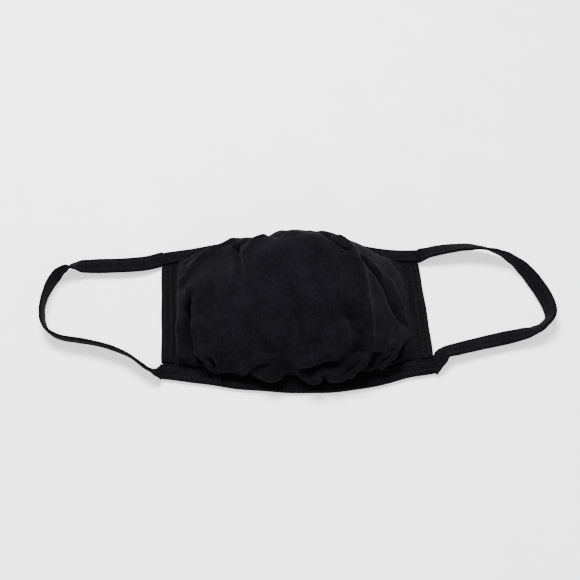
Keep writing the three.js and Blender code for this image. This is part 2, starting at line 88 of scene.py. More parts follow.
# %% Route tables
PLACE = (-0.453, 0.451, 0.0)  # mm, of the tables' zero in the frame
TAPES = {  # mm. The slot is how deep a folded tape takes the cloth
    "edge": {"width": 9.6, "thickness": 3.2, "slot": 5.0},
    "side": {"width": 7.6, "thickness": 3.2, "slot": 4.2},
    "loop": {"width": 10.8, "thickness": 2.0, "slot": 0.0},
}
NOSE_ROUTE = [  # x, y, lift, roll
    (-84, 39.0, 0.1, 0),
    (-70, 41.4, 0.3, 0),
    (-52, 44.6, 1.0, 6),
    (-34, 47.6, 1.4, 14),
    (-14, 49.3, 2.0, 18),
    (6, 49.4, 2.2, 18),
    (24, 47.8, 1.8, 16),
    (38, 44.8, 1.4, 8),
    (54, 41.9, 0.4, 0),
    (66, 41.2, 0.1, 0),
    (76, 41.3, 0.1, 0),
]
CHIN_ROUTE = [  # x, y, lift, roll
    (80.3, -37.5, 0, 0),
    (66, -40.1, 0, 0),
    (52, -44.2, 0, 0),
    (34, -48.3, 0, 0),
    (10, -50.5, 0, 0),
    (-14, -49.6, 0, 0),
    (-36, -47.5, 0, 0),
    (-56, -44.2, 0, 0),
    (-78, -41.3, 0, 0),
]
LEFT_ROUTE = [  # x, y, lift, roll
    (-75.6, -35.9, 0, 0),
    (-76.4, -24, 0, 0),
    (-77.8, -6, 0, 0),
    (-79.4, 14, 0, 0),
    (-80.8, 33.6, 0, 0),
]
RIGHT_ROUTE = [  # x, y, lift, roll
    (72.8, 35.6, 0, 0),
    (74.0, 18, 0, 0),
    (75.1, 0, 0, 0),
    (76.0, -18, 0, 0),
    (76.4, -32.8, 0, 0),
]
LEFT_LOOP_ROUTE = [  # x, y, lift, roll
    (-78.4, -41.7, 0.6, 0),
    (-80.6, -42.4, 0.4, -34),
    (-83.6, -42.4, 0.3, -62),
    (-87.8, -40.4, 0.4, -73),
    (-92.4, -36.9, 0.4, -73),
    (-97, -33.3, 0.5, -72),
    (-104, -29.6, 0.4, -72),
    (-112, -26.6, 0.4, -72),
    (-122, -23.9, 0.3, -71),
    (-131, -22.2, 0.2, -72),
    (-139, -20.6, 0.2, -73),
    (-146.4, -16.8, 0.2, -76),
    (-150.8, -11.2, 0.2, -82),
    (-152.9, -4, 0.2, -89),
    (-153.6, 3, 0.2, -93),
    (-153.0, 10, 0.2, -92),
    (-151.2, 17.4, 0.2, -87),
    (-148.2, 24.0, 0.2, -84),
    (-144.0, 29.0, 0.4, -104),
    (-139.2, 31.4, 1.0, -140),
    (-132.7, 32.4, 2.0, -172),
    (-122, 32.7, 2.6, -180),
    (-110, 32.8, 3.0, -180),
    (-100, 33.9, 2.6, -180),
    (-92.9, 35.6, 1.8, -180),
    (-84.4, 39.3, 0.6, -180),
]
RIGHT_LOOP_ROUTE = [  # x, y, lift, roll
    (76.4, 41.5, 0.6, 0),
    (84, 42.8, 1.4, 22),
    (94, 44.2, 2.6, 26),
    (106, 45.2, 2.8, 34),
    (117, 44.2, 2.4, 48),
    (127, 41.2, 1.3, 64),
    (134.0, 36.2, 0.9, 84),
    (141.0, 28.2, 0.7, 104),
    (146.2, 19.4, 0.5, 117),
    (150.2, 10.2, 0.5, 121),
    (152.4, 1.6, 0.6, 118),
    (152.2, -5.6, 0.7, 114),
    (147.8, -11.2, 0.8, 120),
    (142.4, -14.6, 0.8, 136),
    (134.5, -17.0, 0.8, 154),
    (124, -19.4, 0.6, 162),
    (106, -24.0, 0.6, 160),
    (94, -27.4, 0.5, 155),
    (87, -29.8, 0.4, 150),
    (84.2, -32.8, 0.4, 160),
    (80.8, -36.4, 0.5, 180),
]

# %% [markdown]
# A curve tool could bend a strip along a route, but the twist of a real tape is then hard to steer. Here the
# middle line is worked out as a smooth curve through the rows, and at each place three directions are kept:
# ahead, across to the outer edge, and out of the face. Anything that follows the tape, such as its stitches,
# can use the same three.

# %% Walk along a route
STEP = 0.002  # share of a route over which a direction is measured
FINE = 1200  # places used to measure length along a route


def unit(v):
    """Vectors in the same directions, each 1 long."""
    return v / np.maximum(np.linalg.norm(v, axis=-1, keepdims=True), 1e-12)


def smoothstep(t):
    """From 0 to 1 with a soft start and a soft end."""
    t = np.clip(t, 0, 1)
    return t * t * (3 - 2 * t)


def curve_through(points, shares):
    """Places on one smooth curve through the points, at shares from 0 to 1."""
    spans = len(points) - 1
    padded = np.vstack([2 * points[0] - points[1], points, 2 * points[-1] - points[-2]])
    span = np.minimum((shares * spans).astype(int), spans - 1)
    t = (shares * spans - span)[:, None]
    p0, p1, p2, p3 = (padded[span + k] for k in range(4))
    d0, d1, d2 = (np.sqrt(np.linalg.norm(b - a, axis=1))[:, None] for a, b in ((p0, p1), (p1, p2), (p2, p3)))
    m1 = ((p1 - p0) / d0 - (p2 - p0) / (d0 + d1) + (p2 - p1) / d1) * d1
    m2 = ((p2 - p1) / d1 - (p3 - p1) / (d1 + d2) + (p3 - p2) / d2) * d1
    return p1 + m1 * t + (3 * (p2 - p1) - 2 * m1 - m2) * t**2 + (2 * (p1 - p2) + m1 + m2) * t**3


class Route:
    """A tape's middle line, in millimetres in the tables' frame."""

    def __init__(self, rows, tape):
        self.tape = TAPES[tape]
        x, y, lift, roll = np.array(rows, float).T
        turn = np.radians(roll)
        width, thickness = self.tape["width"], self.tape["thickness"]
        drop = (width * np.abs(np.sin(turn)) + thickness * np.abs(np.cos(turn))) / 2
        self.points = np.column_stack([x, y, lift + drop])
        self.roll = turn
        shares = np.linspace(0, 1, FINE + 1)
        steps = np.linalg.norm(np.diff(curve_through(self.points, shares), axis=0), axis=1)
        self.run = np.concatenate([[0], np.cumsum(steps)])
        self.length = float(self.run[-1])

    def at_length(self, lengths):
        """The same as at, for places that many mm along the route."""
        return self.at(np.interp(lengths, self.run, np.linspace(0, 1, FINE + 1)))

    def at(self, shares):
        """(middle, ahead, wide, face) at those shares of the route, an array each."""
        shares = np.atleast_1d(np.asarray(shares, float))
        middle = curve_through(self.points, shares)
        before = curve_through(self.points, np.maximum(shares - STEP, 0))
        after = curve_through(self.points, np.minimum(shares + STEP, 1))
        ahead = unit((after - before) * (1, 1, 0))
        above = np.broadcast_to((0.0, 0.0, 1.0), ahead.shape)
        out = np.cross(above, ahead)
        spans = len(self.roll) - 1
        span = np.minimum((shares * spans).astype(int), spans - 1)
        turn = smoothstep(shares * spans - span)
        roll = self.roll[span] * (1 - turn) + self.roll[span + 1] * turn
        cos, sin = np.cos(roll)[:, None], np.sin(roll)[:, None]
        return middle, ahead, out * cos - above * sin, above * cos + out * sin

    def share_where(self, axis, values):
        """The shares at which the middle's x (axis 0) or y (axis 1) has those values."""
        shares = np.linspace(0, 1, FINE + 1)
        along = curve_through(self.points, shares)[:, axis]
        order = np.argsort(along)
        return np.interp(values, along[order], shares[order])


nose, chin = Route(NOSE_ROUTE, "edge"), Route(CHIN_ROUTE, "edge")
left, right = Route(LEFT_ROUTE, "side"), Route(RIGHT_ROUTE, "side")
left_loop, right_loop = Route(LEFT_LOOP_ROUTE, "loop"), Route(RIGHT_LOOP_ROUTE, "loop")
for name, path in (("nose", nose), ("chin", chin), ("left loop", left_loop), ("right loop", right_loop)):
    print(f"{name} tape is {path.length:.0f} mm long")

# %% [markdown]
# ## Cloth and thread
#
# Cotton jersey is matt and a little hairy. Close up it shows columns of small V-shaped loops. Further off
# there is only a soft grain, a faint sheen where the cloth turns away, and the odd fleck of lint that black
# cloth always carries. The pattern reads each piece's UV map, which is laid out in real metres, so the
# loops follow the cloth round every fold.

# %% Shader expressions
class Socket:
    """A value in a material. Sums and products of values add the Math nodes they need."""

    def __init__(self, tree, link):
        self.tree, self.link = tree, link

    def _math(self, operation, first, second):
        node = self.tree.nodes.new("ShaderNodeMath")
        node.operation = operation
        for slot, value in zip(node.inputs, (first, second)):
            if isinstance(value, Socket):
                self.tree.links.new(value.link, slot)
            else:
                slot.default_value = value
        return Socket(self.tree, node.outputs[0])

    def __add__(self, other):
        return self._math("ADD", self, other)

    def __mul__(self, other):
        return self._math("MULTIPLY", self, other)

    def __sub__(self, other):
        return self._math("SUBTRACT", self, other)

    def __rsub__(self, other):
        return self._math("SUBTRACT", other, self)

    def __gt__(self, other):
        return self._math("GREATER_THAN", self, other)

    def __lt__(self, other):
        return self._math("LESS_THAN", self, other)

    __radd__, __rmul__ = __add__, __mul__


class Finish:
    """A material under construction."""

    def __init__(self, name):
        self.material = bpy.data.materials.new(name)
        self.material.use_nodes = True
        self.tree = self.material.node_tree
        self.shader = self.tree.nodes["Principled BSDF"]

    def node(self, kind, settings=None, output=0, **inputs):
        """A node of any kind. Its settings are set first, then the values or links of its sockets."""
        made = self.tree.nodes.new("ShaderNode" + kind)
        for name, value in (settings or {}).items():
            if name == "stops":
                for element, (place, colour) in zip(made.color_ramp.elements, value):
                    element.position, element.color = place, colour
            else:
                setattr(made, name, value)
        self.fill(made, inputs)
        return Socket(self.tree, made.outputs[output])

    def fill(self, made, inputs):
        """Values or links for a node's sockets. A socket goes by its name, or by its number as in _0."""
        for name, value in inputs.items():
            slot = made.inputs[int(name[1:]) if name[1:].isdigit() else name.replace("_", " ")]
            if isinstance(value, Socket):
                self.tree.links.new(value.link, slot)
            else:
                slot.default_value = value

    def surface(self, **inputs):
        self.fill(self.shader, inputs)


# %% [markdown]
# The knit itself is finer than can be seen from half a metre, so it is mostly relief for the Bump node. What
# shows is the tone: large worn patches, a mottle a couple of millimetres across, and single flecks of lint
# that appear where two patterns agree.

# %% Jersey
WALE = 0.00075  # m from one column of knitted loops to the next
COURSE = 0.0006  # m from one row of loops to the next
LINT_TONE = (0.03, 0.03, 0.033, 1)
TONE_STOPS = (0.36, 0.68)  # shade at which the cloth is darkest and lightest


def jersey(name, dark, light, lint, bump):
    """Matt black jersey. lint is how large its flecks are, and bump how deep the knit looks."""
    cloth = Finish(name)
    cloth_place = cloth.node("TexCoord", output=2)
    across = cloth.node("SeparateXYZ", output=0, _0=cloth_place)
    along = cloth.node("SeparateXYZ", output=1, _0=cloth_place)
    turn = 2 * math.pi

    def wave(value):
        return cloth.node("Math", {"operation": "SINE"}, _0=value) * 0.5 + 0.5

    column = wave(across * (turn / WALE))
    legs = cloth.node("Math", {"operation": "ABSOLUTE"}, _0=column - 0.5)
    loops = wave(along * (turn / COURSE) + legs * 5.0)
    fuzz = cloth.node("TexNoise", Vector=cloth_place, Scale=1900.0, Detail=3.0, Roughness=0.7)
    worn = cloth.node("TexNoise", Vector=cloth_place, Scale=55.0, Detail=4.0, Roughness=0.6)
    relief = column * 0.5 + loops * 0.35 + fuzz * 0.8
    speck = cloth.node(
        "TexVoronoi", {"feature": "F1", "distance": "EUCLIDEAN"}, Vector=cloth_place, Scale=260.0
    )
    linty = cloth.node("TexNoise", Vector=cloth_place, Scale=90.0) > 0.56
    fleck = (speck < lint) * linty
    mottle = cloth.node("TexNoise", Vector=cloth_place, Scale=480.0, Detail=2.0, Roughness=0.6)
    shade = worn * 0.4 + mottle * 0.4 + fuzz * 0.15 + column * 0.05
    stops = tuple(zip(TONE_STOPS, ((*dark, 1), (*light, 1))))
    tone = cloth.node("ValToRGB", {"stops": stops}, Fac=shade)
    flecked = cloth.node("Mix", {"data_type": "RGBA"}, output=2, _0=fleck * 0.3, _6=tone, _7=LINT_TONE)
    normal = cloth.node("Bump", Strength=bump, Distance=0.0002, Height=relief)
    cloth.surface(
        Base_Color=flecked,
        Roughness=0.86 + fuzz * 0.12,
        Normal=normal,
        Sheen_Weight=0.012,
        Sheen_Roughness=0.45,
        Specular_IOR_Level=0.03,
    )
    return cloth.material


PANEL_CLOTH = jersey("panel_jersey", (0.0011, 0.0010, 0.0018), (0.0056, 0.0051, 0.0074), 0.05, 0.7)
TAPE_CLOTH = jersey("tape_jersey", (0.0010, 0.0010, 0.0014), (0.0052, 0.0050, 0.0062), 0.03, 0.7)
print("materials:", PANEL_CLOTH.name, TAPE_CLOTH.name)

# %% [markdown]
# The thread is smoother than the jersey and catches a little more light, which is all that tells a row of
# black stitches from the black tape under it.

# %% Thread
THREAD_STOPS = ((0.3, (0.002, 0.002, 0.0024, 1)), (0.7, (0.007, 0.007, 0.008, 1)))
thread = Finish("black_thread")
thread_place = thread.node("TexCoord", output=3)
strand = thread.node("TexNoise", Vector=thread_place, Scale=2500.0, Detail=2.0)
thread.surface(
    Base_Color=thread.node("ValToRGB", {"stops": THREAD_STOPS}, Fac=strand),
    Roughness=0.6 + strand * 0.2,
    Specular_IOR_Level=0.15,
    Normal=thread.node("Bump", Strength=0.4, Distance=0.0001, Height=strand),
)
THREAD = thread.material
print("material:", THREAD.name)

# %% [markdown]
# ## Tapes
#
# Each tape starts as a flat grid of the right length, as cut, and every point of it is then carried to its
# place along the route. A binding is one strip folded in half over the panel's edge, so its grid is folded
# round in a U and given the thickness of jersey. An ear loop is the same strip stitched shut, so its grid
# goes all the way round. Two rows of stitches press two shallow channels into it.

# %% Grids along routes
TRIM = 12.0  # mm of tape over which its section turns to a slanting end
TAPE_STEP = 0.8  # mm between the places along a tape
CLOTH_PLY = 0.7  # mm, one layer of tape jersey
STITCH_ROWS = {"edge": (-2.6, 2.2), "side": (-2.0, 1.6), "loop": (-2.5, 2.5)}  # mm from the tape's middle
STITCH = 2.6  # mm from one stitch to the next
CHANNEL_WIDTH, CHANNEL_DEPTH = 0.55, 0.5  # mm, of the channel that a row of stitches presses
SMOOTH_ANGLE = math.radians(60)  # sharper corners than this stay sharp


def to_frame(points):
    return (np.asarray(points) + PLACE) * MM


def channel(across, rows):
    """How deep the stitches press into a tape there, from 0 to 1."""
    return sum(np.exp(-(((across - row) / CHANNEL_WIDTH) ** 2)) for row in rows)


def skew_at(path, lengths, middle, ahead, wide, ends):
    """How far a point moves ahead for each mm across, so that the ends are square to those directions."""
    skew = np.zeros(len(lengths))
    for end, near in ((0, 1 - lengths / TRIM), (1, 1 - (path.length - lengths) / TRIM)):
        square = np.asarray(ends[end], float)
        tip = [0, -1][end]
        full = -(wide[tip] @ square) / (ahead[tip] @ square)
        skew += np.clip(near, 0, 1) * full
    return skew


def grid_piece(name, columns, rows, points, spacing, closed=False):
    """A grid of columns by rows points, put at those places, with a UV map in metres of cloth."""
    deselect_all()
    bpy.ops.mesh.primitive_grid_add(x_subdivisions=columns - 1, y_subdivisions=rows - 1, size=1)
    piece = bpy.context.object
    piece.name = piece.data.name = name
    mesh = piece.data
    flat = np.empty(len(mesh.vertices) * 3)
    mesh.vertices.foreach_get("co", flat)
    flat = flat.reshape(-1, 3)
    i = np.rint((flat[:, 0] + 0.5) * (columns - 1)).astype(int)
    j = np.rint((flat[:, 1] + 0.5) * (rows - 1)).astype(int)
    mesh.vertices.foreach_set("co", to_frame(points[i, j]).ravel())
    corner = np.empty(len(mesh.loops), int)
    mesh.loops.foreach_get("vertex_index", corner)
    across, along = spacing
    uv = np.column_stack([across[i, j][corner], along[i, j][corner]]) * MM
    mesh.uv_layers[0].data.foreach_set("uv", uv.ravel())
    mesh.update()
    if closed:
        bpy.ops.object.mode_set(mode="EDIT")
        bpy.ops.mesh.select_all(action="SELECT")
        bpy.ops.mesh.remove_doubles(threshold=1e-6)
        bpy.ops.object.mode_set(mode="OBJECT")
    return piece


def use_modifier(piece, kind, **settings):
    """Adds a modifier and applies it."""
    bpy.context.view_layer.objects.active = piece
    bpy.ops.object.modifier_add(type=kind)
    modifier = piece.modifiers[-1]
    for name, value in settings.items():
        setattr(modifier, name, value)
    bpy.ops.object.modifier_apply(modifier=modifier.name)


def dress(piece, material, slot, *nodes):
    """Gives a piece its finish, hangs it under the root body and hides the CAD nodes it stands for."""
    piece.data.materials.clear()
    piece.data.materials.append(material)
    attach(piece, "root")
    if nodes:
        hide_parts(*nodes)


def smooth(piece):
    deselect_all()
    piece.select_set(True)
    bpy.context.view_layer.objects.active = piece
    bpy.ops.object.shade_smooth_by_angle(angle=SMOOTH_ANGLE)


# %% [markdown]
# A binding is a strip folded in half with the panel's edge between its two layers. Its section is drawn once,
# from the free edge of the upper layer round the fold to the free edge of the lower one, and swept along the
# route. Solidify then gives it the thickness of one layer, and Subdivision Surface rounds it. The free edge
# of the upper layer is seen, so it gets a small roll, as cut jersey has, and wavers a little.

# %% Folded bindings
LEG_POINTS, BEND_POINTS = 22, 7  # of the section, along the upper layer and round the fold
LOWER_STRIDE = 3  # the lower layer isn't seen, so it has only every third of the upper one's points
SET_BACK = 0.1  # mm that a free edge lies back from the tape's width
EDGE_ROLL = {"height": 0.3, "inwards": 1.0, "width": 0.7}  # mm, of the upper layer's free edge
EDGE_DROP = (0.3, 0.1)  # mm that the outermost points of that edge turn down
WAVER = {"depth": 0.12, "length": 4.3}  # mm, of the upper layer from side to side
BEAT = 0.25  # share of a channel's depth that comes and goes with each stitch
SOFT_WAVES = ((0.06, 3.1), (0.05, 7.7))  # mm deep and long: straight across the tape, and slanting


def pucker(lengths, across, rows):
    """How far a stitched tape's face dips, in mm: deeper at each stitch, with a soft unevenness."""
    beat = 1 - BEAT + BEAT * np.cos(2 * math.pi * lengths / STITCH)
    (depth, length), (slant_depth, slant_length) = SOFT_WAVES
    uneven = depth * np.sin(lengths / length) + slant_depth * np.sin(lengths / slant_length + across)
    return CHANNEL_DEPTH * channel(across, rows) * beat + uneven


def folded_section(tape):
    """Across and through of a strip folded in half, from the upper free edge round to the lower one."""
    half_width = tape["width"] / 2
    half = (tape["thickness"] - CLOTH_PLY) / 2
    reach = half_width - half
    legs = np.linspace(-half_width + SET_BACK, reach, LEG_POINTS)
    turn = np.linspace(math.pi / 2, -math.pi / 2, BEND_POINTS + 2)[1:-1]
    bend = np.column_stack([reach + (half - CLOTH_PLY / 2) * np.cos(turn), half * np.sin(turn)])
    upper = np.column_stack([legs, np.full(LEG_POINTS, half)])
    back = legs[::-LOWER_STRIDE]
    lower = np.column_stack([back, np.full(len(back), -half)])
    section = np.vstack([upper, bend, lower])
    run = np.concatenate([[0], np.cumsum(np.linalg.norm(np.diff(section, axis=0), axis=1))])
    return section, run


def binding(name, path, kind, ends, slot, node):
    """One binding: a strip folded in half over the panel's edge."""
    rows = STITCH_ROWS[kind]
    section, unfolded = folded_section(path.tape)
    lengths = np.linspace(0, path.length, int(path.length / TAPE_STEP) + 1)
    middle, ahead, wide, face = path.at_length(lengths)
    skew = skew_at(path, lengths, middle, ahead, wide, ends)
    across = np.broadcast_to(section[:, 0], (len(lengths), len(section))).copy()
    through = np.broadcast_to(section[:, 1], across.shape).copy()
    dip = pucker(lengths[:, None], across, rows)
    top = np.arange(len(section)) < LEG_POINTS
    through[:, top] -= dip[:, top]
    from_roll = across[:, top] + path.tape["width"] / 2 - EDGE_ROLL["inwards"]
    through[:, top] += EDGE_ROLL["height"] * np.exp(-((from_roll / EDGE_ROLL["width"]) ** 2))
    through[:, :2] -= EDGE_DROP
    seen = LEG_POINTS + BEND_POINTS
    sideways = WAVER["depth"] * np.sin(lengths / WAVER["length"])[:, None]
    across[:, :seen] += sideways * (np.arange(seen) / LEG_POINTS)
    points = (
        middle[:, None]
        + wide[:, None] * across[..., None]
        + face[:, None] * through[..., None]
        + ahead[:, None] * (skew[:, None] * across)[..., None]
    )
    u = np.broadcast_to(unfolded, across.shape)
    v = np.broadcast_to(lengths[:, None], across.shape)
    piece = grid_piece(name, len(lengths), len(section), points, (u, v))
    use_modifier(piece, "SOLIDIFY", thickness=CLOTH_PLY * MM, offset=0, use_even_offset=True)
    use_modifier(piece, "SUBSURF", levels=1, render_levels=1)
    smooth(piece)
    dress(piece, TAPE_CLOTH, slot, node)
    width = unfolded[-1]
    print(f"{name}: {path.length:.0f} mm of tape {width:.1f} mm wide, {len(piece.data.polygons)} faces")


def edge_at(x, path):
    """Direction across a tape there, which the end of a tape that butts against it is square to."""
    return path.at(path.share_where(0, [x]))[2][0]


LEFT_CORNER, RIGHT_CORNER = -77, 73  # x at which the side tapes meet the edge tapes
SQUARE = ((1, 0, 0), (1, 0, 0))
LEFT_ENDS = (edge_at(LEFT_CORNER, chin), edge_at(LEFT_CORNER, nose))
RIGHT_ENDS = (edge_at(RIGHT_CORNER, nose), edge_at(RIGHT_CORNER, chin))
binding("nose_tape", nose, "edge", SQUARE, "edge_tape", "nose_binding")
binding("chin_tape", chin, "edge", SQUARE, "edge_tape", "chin_binding")
binding("left_side_tape", left, "side", LEFT_ENDS, "side_tape", "left_side_binding")
binding("right_side_tape", right, "side", RIGHT_ENDS, "side_tape", "right_side_binding")

# %% [markdown]
# An ear loop is the same strip stitched shut, so its section goes all the way round and has no free edge.
# Its ends run on inside the edge tapes, a little narrower, so that no gap shows where the tape is one piece
# on the real mask.

# %% Ear loops
TUCK, TUCK_GAP = 3.4, 0.6  # mm that a loop's end runs on into a binding, and over which it narrows to fit
TUCKED_PLACES = 5  # along the part that is inside the binding
TUCKED = {"width": 0.84, "thickness": 0.8}  # of its full size
FLAT_POINTS, ROUND_POINTS = 20, 6  # of the section: a face and a long edge
BREATHING = {"share": 0.012, "length": 5.3}  # of the width, and mm: how unevenly the tape was pulled


def loop_section(tape):
    """Across and through all round a tape stitched shut, with round long edges."""
    half_width, half = tape["width"] / 2, tape["thickness"] / 2
    reach = half_width - half
    flat = np.linspace(-reach, reach, FLAT_POINTS)
    turn = np.linspace(math.pi / 2, -math.pi / 2, ROUND_POINTS + 2)[1:-1]
    bend = np.column_stack([reach + half * np.cos(turn), half * np.sin(turn)])
    upper = np.column_stack([flat, np.full(FLAT_POINTS, half)])
    section = np.vstack([upper, bend, -upper, -bend, upper[:1]])
    run = np.concatenate([[0], np.cumsum(np.linalg.norm(np.diff(section, axis=0), axis=1))])
    return section, run


def ear_loop(name, before, path, after, slot, node):
    """A loop of tape whose two ends run on inside the bindings before and after it."""
    rows = STITCH_ROWS["loop"]
    section, round_it = loop_section(path.tape)
    inside = np.linspace(TUCK, TUCK_GAP, TUCKED_PLACES)
    own = np.linspace(0, path.length, int(path.length / TAPE_STEP) + 1)
    parts = [list(path.at_length(own))]
    for place, end, lengths in ((0, before, before.length - inside), (-1, after, inside[::-1])):
        middle, ahead, wide, face = end.at_length(lengths)
        same_way_up = np.sign(wide[0] @ parts[-1 - place][2][place])
        parts.insert(len(parts) * -place, [middle, ahead, wide * same_way_up, face * same_way_up])
    middle, ahead, wide, face = (np.concatenate(values) for values in zip(*parts))
    lengths = np.concatenate([-inside, own, path.length + inside[::-1]])
    free = slice(TUCKED_PLACES, -TUCKED_PLACES)
    skew = np.zeros(len(lengths))
    skew[free] = skew_at(path, own, middle[free], ahead[free], wide[free], SQUARE)
    tucked = np.clip(np.minimum(lengths, path.length - lengths) / TUCK_GAP, -1, 1)[:, None] / 2 + 0.5
    across = section[:, 0] * (TUCKED["width"] + (1 - TUCKED["width"]) * tucked)
    through = section[:, 1] * (TUCKED["thickness"] + (1 - TUCKED["thickness"]) * tucked)
    dip = pucker(lengths[:, None], across, rows)
    flatness = np.abs(through) / (path.tape["thickness"] / 2)
    through -= np.sign(through) * dip * flatness * tucked
    across *= 1 + BREATHING["share"] * np.sin(lengths / BREATHING["length"])[:, None]
    points = (
        middle[:, None]
        + wide[:, None] * across[..., None]
        + face[:, None] * through[..., None]
        + ahead[:, None] * (skew[:, None] * across)[..., None]
    )
    u = np.broadcast_to(round_it, across.shape)
    v = np.broadcast_to(lengths[:, None], across.shape)
    piece = grid_piece(name, len(lengths), len(section), points, (u, v), closed=True)
    bpy.ops.object.mode_set(mode="EDIT")
    bpy.ops.mesh.select_all(action="SELECT")
    bpy.ops.mesh.fill_holes(sides=0)
    bpy.ops.mesh.normals_make_consistent(inside=False)
    bpy.ops.object.mode_set(mode="OBJECT")
    use_modifier(piece, "SUBSURF", levels=1, render_levels=1)
    smooth(piece)
    dress(piece, TAPE_CLOTH, slot, node)
    print(f"{name}: {path.length:.0f} mm long, {len(piece.data.polygons)} faces")


ear_loop("left_loop_tape", chin, left_loop, nose, "loop_tape", "left_ear_loop")
ear_loop("right_loop_tape", nose, right_loop, chin, "loop_tape", "right_ear_loop")

# %% [markdown]
# ## Stitches
#
# A coverstitch shows as two straight rows of short threads. One stitch is modelled, a small bead drawn out
# long and sunk at its ends, and copied to each place. The copies are joined, because a thousand separate
# objects would be slow to handle.

# %% Sew the rows
STITCH_SIZE = {"length": 2.05, "width": 0.42, "height": 0.3}  # mm of thread that shows
STITCH_LIFT = {"edge": 1.36, "side": 1.36, "loop": 0.78}  # mm off the middle of the tape's thickness
PLAIN_END = 3  # mm of a tape that is left without stitches, both ends together


def model_stitch():
    deselect_all()
    bpy.ops.mesh.primitive_uv_sphere_add(segments=6, ring_count=5, radius=0.5)
    stitch = bpy.context.object
    bpy.ops.object.mode_set(mode="EDIT")
    bpy.ops.mesh.select_all(action="SELECT")
    bpy.ops.transform.rotate(value=math.pi / 2, orient_axis="Y", center_override=(0, 0, 0))
    bpy.ops.transform.resize(value=[side * MM for side in STITCH_SIZE.values()])
    bpy.ops.object.mode_set(mode="OBJECT")
    return stitch


def sew(name, seams, slot):
    """One mesh of stitches. A seam is (path, how far across, height off its middle, end directions)."""
    model = model_stitch()
    copies = []
    for path, row, height, ends in seams:
        count = int((path.length - PLAIN_END) / STITCH)
        lengths = (path.length - (count - 1) * STITCH) / 2 + np.arange(count) * STITCH
        middle, ahead, wide, face = path.at_length(lengths)
        skew = skew_at(path, np.array([0, *lengths, path.length]), middle, ahead, wide, ends)[1:-1]
        places = middle + wide * row + face * height + ahead * (skew * row)[:, None]
        for place, x, y, z in zip(to_frame(places), ahead, wide, face):
            copy = model.copy()
            copy.data = model.data.copy()
            copy.matrix_world = Matrix(np.column_stack([x, y, z]).tolist()).to_4x4()
            copy.location = place
            bpy.context.collection.objects.link(copy)
            copies.append(copy)
    bpy.data.objects.remove(model)
    deselect_all()
    for copy in copies:
        copy.select_set(True)
    bpy.context.view_layer.objects.active = copies[0]
    bpy.ops.object.join()
    bpy.ops.object.transform_apply(location=True, rotation=True, scale=True)
    piece = bpy.context.object
    piece.name = piece.data.name = name
    bpy.ops.object.shade_smooth()
    dress(piece, THREAD, slot)
    print(f"{name}: {len(copies)} stitches, {len(piece.data.polygons)} faces")


def seams_on(kind, paths, faces):
    """A seam for each row of stitches on each of those tapes, on the faces with those signs."""
    rows, lift = STITCH_ROWS[kind], STITCH_LIFT[kind]
    return [(path, row, lift * side, ends) for path, ends in paths for row in rows for side in faces]


sew("loop_stitches", seams_on("loop", ((left_loop, SQUARE), (right_loop, SQUARE)), (1, -1)), "loop_tape")
sew("edge_stitches", seams_on("edge", ((nose, SQUARE), (chin, SQUARE)), (1,)), "edge_tape")
sew("side_stitches", seams_on("side", ((left, LEFT_ENDS), (right, RIGHT_ENDS)), (1,)), "side_tape")

# %% [markdown]
# ## The gathered panel
#
# The panel's edges are longer than the tapes they are sewn to, so the cloth stands up in a dome and buckles
# into puffs along the chin and pleats along the nose. A simulation alone would put its folds anywhere, so
# the dome and its main folds are shaped first, from the same tables as the CAD solid and on a finer grid.
# A short cloth simulation with the hems held then settles the folds, so that they run into each other as
# cloth does.

# %% Crowns, puffs and folds
MARGIN = 3.1  # percent of the panel's width that lies flat at each side tape
PANEL_CORNERS = {"left": (-34, 33), "right": (-31.5, 34.5)}  # y of the corners, chin and nose
PLY_PAIR = 1.2  # mm, both plies
GAP = 0.3  # mm between the cloth and the tape it goes into
LIP = 4.4  # mm that the cloth stands up out of the tape before it bulges out over it
SINK = 0.3  # share of that height a fold may sink back beside a tape; at the dome's middle, all of it
BULGE_AT = 5.0  # degrees up the dome where it bulges most
DOME_LENGTH = 140.0  # mm that half a turn over the dome counts for in a fold's width
FULL_HEIGHT = 30.5  # mm, about the dome's height over the lips
STANDS_BY = 3  # the cloth stands up out of the tape where the dome has a third of its full height
STEEPNESS, BREADTH = 0.86, 0.74  # powers of the cosine and sine in the dome's section; 1 and 1 is an ellipse
LOW = 4  # mm of height under which the folds fade out
FADE_ROWS = 5  # rows of the grid at each tape over which they fade out too
CROWNS = [  # percent across, mm over the lips, and the crown's percent of the way from chin to nose
    (0, 0, 50),
    (MARGIN, 0, 50),
    (5.0, 7.5, 46),
    (8.5, 9.5, 47),
    (12, 12.5, 48),
    (17, 17.0, 48),
    (28, 23.5, 50),
    (42, 28.3, 53),
    (58, 30.0, 55),
    (71, 25.8, 52),
    (80, 20.5, 47),
    (87.5, 11.5, 38),
    (93, 5.6, 34),
    (100 - MARGIN, 0, 34),
    (100, 0, 50),
]
PUFFS = [  # x, how far the cloth bulges out over the chin binding there, in mm
    (-76, 0),
    (-66, 1.0),
    (-58, 1.6),
    (-54, 3.0),
    (-50, 5.0),
    (-46.5, 6.8),
    (-43, 5.4),
    (-37, 5.0),
    (-30, 4.4),
    (-26, 4.8),
    (-17, 8.2),
    (-10, 6.4),
    (-6.5, 3.0),
    (-1, 2.4),
    (2.5, 5.4),
    (8, 8.8),
    (13, 8.0),
    (15.5, 5.8),
    (19, 7.4),
    (25, 7.8),
    (30, 6.2),
    (37, 5.2),
    (43, 4.0),
    (47, 2.6),
    (53, 2.6),
    (62, 1.4),
    (76, 0),
]
NOSE_PUFFS = [  # x, how far it bulges out over the nose binding
    (-76, 0),
    (-46, 2.2),
    (-34, 0.6),
    (-26, 2.6),
    (-20, 1.2),
    (-8, 2.6),
    (6, 1.8),
    (18, 3.0),
    (30, 2.4),
    (44, 1.2),
    (76, 0),
]
